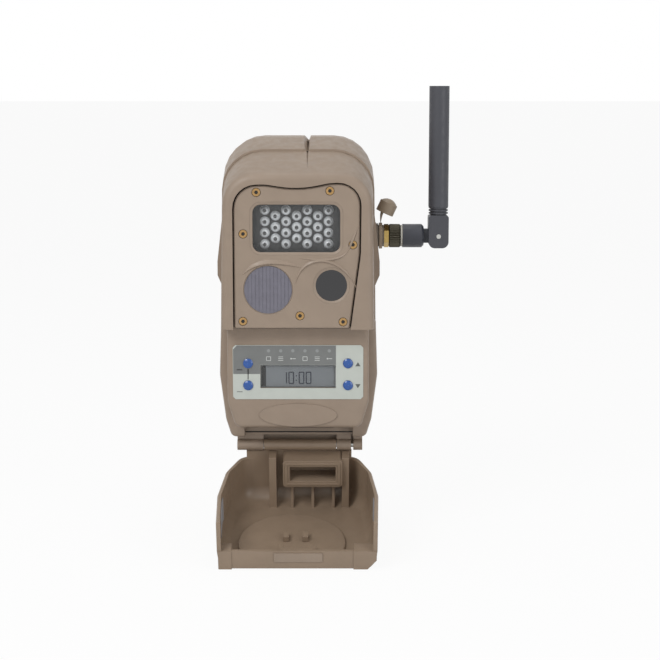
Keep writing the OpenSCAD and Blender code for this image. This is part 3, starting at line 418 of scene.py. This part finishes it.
# ---------------------------------------------------------------- bezel: brows, window bevels, painted shade in the screw sockets
RIDGE_STEPS = 40
RIDGE_ROOT = 0.1            # how deep a ridge stands in the bezel
STEEP_SIDE = 0.35           # width of a ridge's inner side
BULGE_OUT, BULGE_UP = 0.45, 0.75    # place of the crease in the outer side, as shares of it
NEARBY = 0.01               # step along a curve over which its direction is taken
FADE, FADE_POWER = 0.02, 0.6        # a ridge swells as a power of a sine, cut off near its ends


def bezier(corners, t):
    """Point of a cubic Bezier curve."""
    weights = ((1 - t) ** 3, 3 * t * (1 - t) ** 2, 3 * t * t * (1 - t), t ** 3)
    return [sum(w * corner[axis] for w, corner in zip(weights, corners)) for axis in (0, 1)]


def ridge(corners, height, width):
    """Ridge along a curve: gentle on its outer side, steep on its inner one, fading at its ends."""
    rings = []
    for i in range(RIDGE_STEPS + 1):
        t = i / RIDGE_STEPS
        x, z = bezier(corners, t)
        xa, za = bezier(corners, max(0, t - NEARBY))
        xb, zb = bezier(corners, min(1, t + NEARBY))
        run = math.hypot(xb - xa, zb - za)
        nx, nz = -(zb - za) / run, (xb - xa) / run
        swell = math.sin(math.pi * min(max(t, FADE), 1 - FADE)) ** FADE_POWER
        out, up = width * swell, height * swell
        rings.append([(x + nx * out, BEZEL_D - RIDGE_ROOT, z + nz * out),
                      (x + nx * out * BULGE_OUT, BEZEL_D + up * BULGE_UP, z + nz * out * BULGE_OUT),
                      (x, BEZEL_D + up, z),
                      (x - nx * STEEP_SIDE, BEZEL_D - RIDGE_ROOT, z - nz * STEEP_SIDE)])
    return loft(rings)


# Each brow: the four points of its curve, its height and the width of its outer side.
BROWS = (
    (((-29.9, 30.9), (-22.0, 38.9), (-10.0, 37.4), (1.5, 34.7)), 1.1, 2.6),
    (((-1.0, 25.8), (2.5, 42.5), (23.0, 42.5), (32.6, 23.6)), 1.1, 1.8),
    (((1.4, 39.7), (12.0, 38.6), (24.0, 36.8), (28.2, 44.4)), 0.8, 1.2),
    (((28.3, 44.3), (30.2, 48.0), (32.0, 52.0), (33.4, 57.0)), 0.7, 1.2))
piece("bezel_brows", [ridge(*brow) for brow in BROWS], BEZEL, CAMERA)

# The openings in the bezel: lamp window, camera lens and motion sensor.
LED_X, LED_Z, LED_W, LED_H, LED_CORNER = -0.5, 56.3, 51.4, 29.3, 6
EYE_X, EYE_Z, EYE_R = 18.8, 24.6, 10.2
PIR_X, PIR_Z, PIR_R = -16.3, 22.2, 13.8
LED_BEVEL, EYE_BEVEL, PIR_BEVEL = 1.5, 1.5, 0.5
BEVEL_TOP, BEVEL_LOW = 0.05, 0.1    # below the bezel's face, and over the windows' face
BEVEL_BACK = 0.3            # thickness of a bevel behind its inner edge
ROUND = 64


def bevel_ring(outer, inner):
    """Sloping ring from the bezel's face down to the windows, between two outlines."""
    n, top, low = len(outer), BEZEL_D - BEVEL_TOP, WINDOW_D + BEVEL_LOW
    rings = (at_depth(outer, top), at_depth(inner, low), at_depth(inner, low - BEVEL_BACK),
             at_depth(outer, low - BEVEL_BACK))
    faces = [[k * n + i, k * n + (i + 1) % n, (k + 1) % 4 * n + (i + 1) % n, (k + 1) % 4 * n + i]
             for k in range(4) for i in range(n)]
    return [point for ring in rings for point in ring], faces


def round_bevel(x, z, r, width):
    return bevel_ring(disc(x, z, r - 0.02, ROUND), disc(x, z, r - width, ROUND))


led_edge = round_rect(LED_X, LED_Z, LED_W - 0.05, LED_H - 0.05, LED_CORNER)
led_inner = round_rect(LED_X, LED_Z, LED_W - 2 * LED_BEVEL, LED_H - 2 * LED_BEVEL, LED_CORNER - 1.4)
piece("opening_bevels", [bevel_ring(led_edge, led_inner), round_bevel(EYE_X, EYE_Z, EYE_R, EYE_BEVEL),
                         round_bevel(PIR_X, PIR_Z, PIR_R, PIR_BEVEL)], BEZEL, CAMERA)

SCREWS = ((-22.5, 76.2), (18, 77), (-29.9, 53.3), (30.7, 47.3), (-30.3, 4.6), (1.4, 7.7), (25.3, 4.3))
SOCKET_R, SOCKET_LOW, SOCKET_TOP = 1.06, 1.28, 0.75     # both depths are below the bezel's face
# Black hexagons in the brass screw heads: painted shade, standing for the shadowed insides of the hex
# sockets.
piece("screw_socket_shade", [slab(disc(x, z, SOCKET_R, 6), BEZEL_D - SOCKET_LOW, BEZEL_D - SOCKET_TOP)
                        for x, z in SCREWS], BLACK, CAMERA)

# ---------------------------------------------------------------- lamps and motion sensor
LAMP_TOP = front("ir_leds")
LAMP_ROWS = (4, 3, 4, 3, 4, 3, 4)
LAMP_STEP, ROW_STEP = 5.9, 3.15         # half the distance in a row, and from row to row
DIE_PROFILE = ((1.15, -0.35), (1.0, 0.02), (0.5, 0.1))      # radius, and height over the lamp's top
LAMPS = [(LED_X + (2 * i - n + 1) * LAMP_STEP, LED_Z + (j - 3) * ROW_STEP)
         for j, n in enumerate(LAMP_ROWS) for i in range(n)]
piece("lamp_dies", [loft([at_depth(disc(x, z, r, 20), LAMP_TOP + rise) for r, rise in DIE_PROFILE])
                    for x, z in LAMPS], DIE, CAMERA)

FACET_W, FACET_RISE, FACET_ROOT = 1.9, 0.35, 0.1
SENSOR_RIM = 0.6


def facets(x0, z0, r, depth):
    """Upright strips across a round lens, each tilted up from its left edge to its right one."""
    solids, count = [], int(2 * r / FACET_W)
    for i in range(count):
        xa, xb = -r + 2 * r * i / count, -r + 2 * r * (i + 1) / count
        ha, hb = (math.sqrt(max(r * r - x * x, 0.01)) for x in (xa, xb))
        outline = [(x0 + xa, z0 - ha), (x0 + xb, z0 - hb), (x0 + xb, z0 + hb), (x0 + xa, z0 + ha)]
        rises = (FACET_RISE * 0.2, FACET_RISE, FACET_RISE, FACET_RISE * 0.2)
        top = [(x, depth + rise, z) for (x, z), rise in zip(outline, rises)]
        solids.append(loft([at_depth(outline, depth - FACET_ROOT), top]))
    return solids


piece("sensor_facets", facets(PIR_X, PIR_Z, PIR_R - SENSOR_RIM, front("pir_lens")), PIR, CAMERA)

# ---------------------------------------------------------------- label print
INK = 0.03
STATUS_X = [-16.6 + 6.85 * i for i in range(6)]
STATUS_Z, ICON_Z = -13.7, -18.2
STATUS_R, STATUS_RISE = 0.95, 0.12
ICON_W, ICON_H, THIN = 2.4, 2.2, 0.3
ARROW_X, ARROW_W, ARROW_H = 33.8, 3.0, 2.4
GREY_ZONE = [(-36.6, -27), (-21.4, -27), (-21.4, -21.8), (21.4, -21.8), (21.4, -10.7), (-34.4, -10.7),
             (-36.6, -12.9)]


def stroke(x0, z0, x1, z1, w):
    """Straight printed line of width w."""
    run = math.hypot(x1 - x0, z1 - z0)
    nx, nz = -(z1 - z0) / run * w / 2, (x1 - x0) / run * w / 2
    return [(x0 - nx, z0 - nz), (x1 - nx, z1 - nz), (x1 + nx, z1 + nz), (x0 + nx, z0 + nz)]


def box_icon(x):
    corners = bar(x - ICON_W / 2, x + ICON_W / 2, ICON_Z - ICON_H / 2, ICON_Z + ICON_H / 2)
    return [stroke(*corners[k], *corners[(k + 1) % 4], THIN) for k in range(4)]


def lines_icon(x):
    return [stroke(x - 1.4, ICON_Z + v, x + 1.4, ICON_Z + v, THIN) for v in (-1, 0, 1)]


def dot_icon(x):
    return [disc(x - 1, ICON_Z, 0.45, 16), stroke(x - 0.4, ICON_Z, x + 1.6, ICON_Z, 0.35)]


def arrow(base, height):
    """Arrowhead beside a key; a negative height points it down."""
    half = math.copysign(ARROW_W / 2, height)
    return [(ARROW_X - half, base), (ARROW_X + half, base), (ARROW_X, base + height)]


piece("label_zone", [slab(GREY_ZONE, LABEL_D, LABEL_D + INK)], LABEL_GREY, CAMERA)
piece("status_caps", [slab(disc(x, STATUS_Z, STATUS_R, 20), LABEL_D, LABEL_D + STATUS_RISE)
                      for x in STATUS_X], STATUS, CAMERA)
ICONS = (box_icon, lines_icon, dot_icon)
marks = [mark for i, x in enumerate(STATUS_X) for mark in ICONS[i % 3](x)]
piece("label_marks", [slab(mark, LABEL_D + INK, LABEL_D + 2 * INK) for mark in marks], PRINT_PALE,
      CAMERA)
# Arrows beside the right keys, a line between the left ones, and a mark under each of those.
key_marks = [arrow(-22.6, ARROW_H), arrow(-32.8, -ARROW_H), stroke(-28.2, -24.2, -28.2, -30.2, 0.6),
             stroke(-34.6, -24.6, -31.4, -24.6, 0.4), stroke(-34.6, -37.2, -31.4, -37.2, 0.4)]
piece("label_arrows", [slab(mark, LABEL_D, LABEL_D + INK) for mark in key_marks], PRINT_DARK, CAMERA)

# ---------------------------------------------------------------- display
FACE_D = front("lcd_module")
SEGMENTS = {"0": "abcdef", "1": "bc"}
# Ends of each segment as (x, z, x, z), in shares of a digit's width and height.
PLACES = {"a": (0, 1, 1, 1), "b": (1, 0.5, 1, 1), "c": (1, 0, 1, 0.5), "d": (0, 0, 1, 0),
          "e": (0, 0, 0, 0.5), "f": (0, 0.5, 0, 1)}
DIGIT_W, DIGIT_H, DIGIT_LINE, DIGIT_Z = 2.6, 6.4, 0.7, -32.8
DIGITS = (("1", -9.2), ("0", -5.2), ("0", 0.6), ("0", 4.6))
COLON_X, COLON_Z, COLON_R = -1, (-28.4, -31), 0.4
# Black strip along the display's left edge: painted shade, standing for the dark inner wall of the display's
# recess.
DISPLAY_WALL_SHADE = bar(-20.6, -18.2, -34.4, -22.6)


def digit(figure, x):
    """Seven-segment strokes of one figure."""
    return [stroke(x + u0 * DIGIT_W, DIGIT_Z + v0 * DIGIT_H, x + u1 * DIGIT_W, DIGIT_Z + v1 * DIGIT_H,
                   DIGIT_LINE) for u0, v0, u1, v1 in (PLACES[segment] for segment in SEGMENTS[figure])]


figures = [line for figure, x in DIGITS for line in digit(figure, x)]
figures += [disc(COLON_X, z, COLON_R, 12) for z in COLON_Z]
piece("display_figures", [slab(f, FACE_D, FACE_D + INK) for f in figures], DIGIT, CAMERA)
piece("display_wall_shade", [slab(DISPLAY_WALL_SHADE, FACE_D, FACE_D + INK)], BLACK, CAMERA)

# ---------------------------------------------------------------- hinge wall
WALL_LEFT, WALL_RIGHT = -35.8, 36.8
WALL_BACK, WALL_FRONT = 53.6, 56
WALL_LOW, WALL_TOP = -73, -65.6
wall = [[(x, WALL_BACK, WALL_LOW), (x, WALL_FRONT, WALL_LOW), (x, WALL_FRONT, WALL_TOP),
         (x, WALL_BACK, WALL_TOP)] for x in (WALL_LEFT, WALL_RIGHT)]
piece("hinge_wall", [loft(wall)], HOUSING, CAMERA)

# ---------------------------------------------------------------- door: feet, latch plate, platform
HINGE_D, HINGE_Z = 60.0, -72.9
SWING = math.radians(106)
DOOR_TOP = -0.6             # upper edge of the shut door
DOOR_IN = 95.8              # inner face of the shut door


def swung(solid):
    """A solid drawn on the shut door, turned about the hinge to the open one."""
    c, s = math.cos(SWING), math.sin(SWING)
    points, faces = solid
    return [(x, HINGE_D + (d - HINGE_D) * c + (z - HINGE_Z) * s,
             HINGE_Z + (z - HINGE_Z) * c - (d - HINGE_D) * s) for x, d, z in points], faces


# Outlines of the two feet, seen from above the shut door, as (x, depth).
FEET = ([(-43.6, 86.8), (-36.2, 86.8), (-36.2, 99.6), (-42.4, 99.6), (-43.6, 98)],
        [(31, 86.8), (43.8, 86.8), (43.8, 92.6), (37.6, 99.8), (31, 99.8)])
FOOT_LOW, FOOT_TOP = -8.6, DOOR_TOP + 0.4
PLATE = bar(-12.9, 13.9, 88, 93.6)
PLATE_H = 0.5
MOON_X, MOON_Z, MOON_R, MOON_TOP = -3.4, -21.4, 30.4, -4
MOON_RISE, MOON_ROOT, MOON_DRAFT = 1.8, 0.2, 0.985
PRONG_X, PRONG_W, PRONG_LOW, PRONG_TOP = (-6.6, 4.3), 3.0, -27.4, -21.4
PRONG_RISE, PRONG_ROOT = 5, 1

moon = [(x, z) for x, z in disc(MOON_X, MOON_Z, MOON_R, 96) if z < MOON_TOP]
drafted = [(MOON_X + (x - MOON_X) * MOON_DRAFT, z * MOON_DRAFT) for x, z in moon]
platform = loft([at_depth(moon, DOOR_IN + MOON_ROOT), at_depth(drafted, DOOR_IN - MOON_RISE)])
prongs = [slab(bar(x - PRONG_W / 2, x + PRONG_W / 2, PRONG_LOW, PRONG_TOP), DOOR_IN - PRONG_RISE,
               DOOR_IN - PRONG_ROOT) for x in PRONG_X]
piece("door_feet", [swung(upright(foot, FOOT_LOW, FOOT_TOP)) for foot in FEET], DOOR, DOOR_BODY)
piece("latch_plate", [swung(upright(PLATE, DOOR_TOP, DOOR_TOP + PLATE_H))], BEZEL, DOOR_BODY)
piece("door_platform", [swung(solid) for solid in (platform, *prongs)], DOOR, DOOR_BODY)

# ---------------------------------------------------------------- knurled antenna collar
box_lo, box_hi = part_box("antenna_collar")
COLLAR_X0, COLLAR_X1 = box_lo[0] / MM, box_hi[0] / MM
AXIS_D, AXIS_Z = -(box_lo[1] + box_hi[1]) / 2 / MM, (box_lo[2] + box_hi[2]) / 2 / MM
COLLAR_R = (box_hi[2] - box_lo[2]) / 2 / MM
TEETH, TOOTH = 36, 0.5
END_FALL, RIM_IN, KNURL_IN = 0.8, 0.6, 0.8      # the ends' chamfer, and where rim and knurl start


def toothed(x, r, deep):
    """Ring about the antenna's axis, with every second point set deep below the rest."""
    ring = []
    for i in range(2 * TEETH):
        a = math.pi * i / TEETH
        q = r - (deep if i % 2 else 0)
        ring.append((x, AXIS_D + q * math.cos(a), AXIS_Z + q * math.sin(a)))
    return ring


profile = ((COLLAR_X0, COLLAR_R - END_FALL, 0), (COLLAR_X0 + RIM_IN, COLLAR_R, 0),
           (COLLAR_X0 + KNURL_IN, COLLAR_R, TOOTH), (COLLAR_X1 - KNURL_IN, COLLAR_R, TOOTH),
           (COLLAR_X1 - RIM_IN, COLLAR_R, 0), (COLLAR_X1, COLLAR_R - END_FALL, 0))
collar = piece("knurled_collar", [loft([toothed(*ring) for ring in profile])], COLLAR, CAMERA)
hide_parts("antenna_collar")
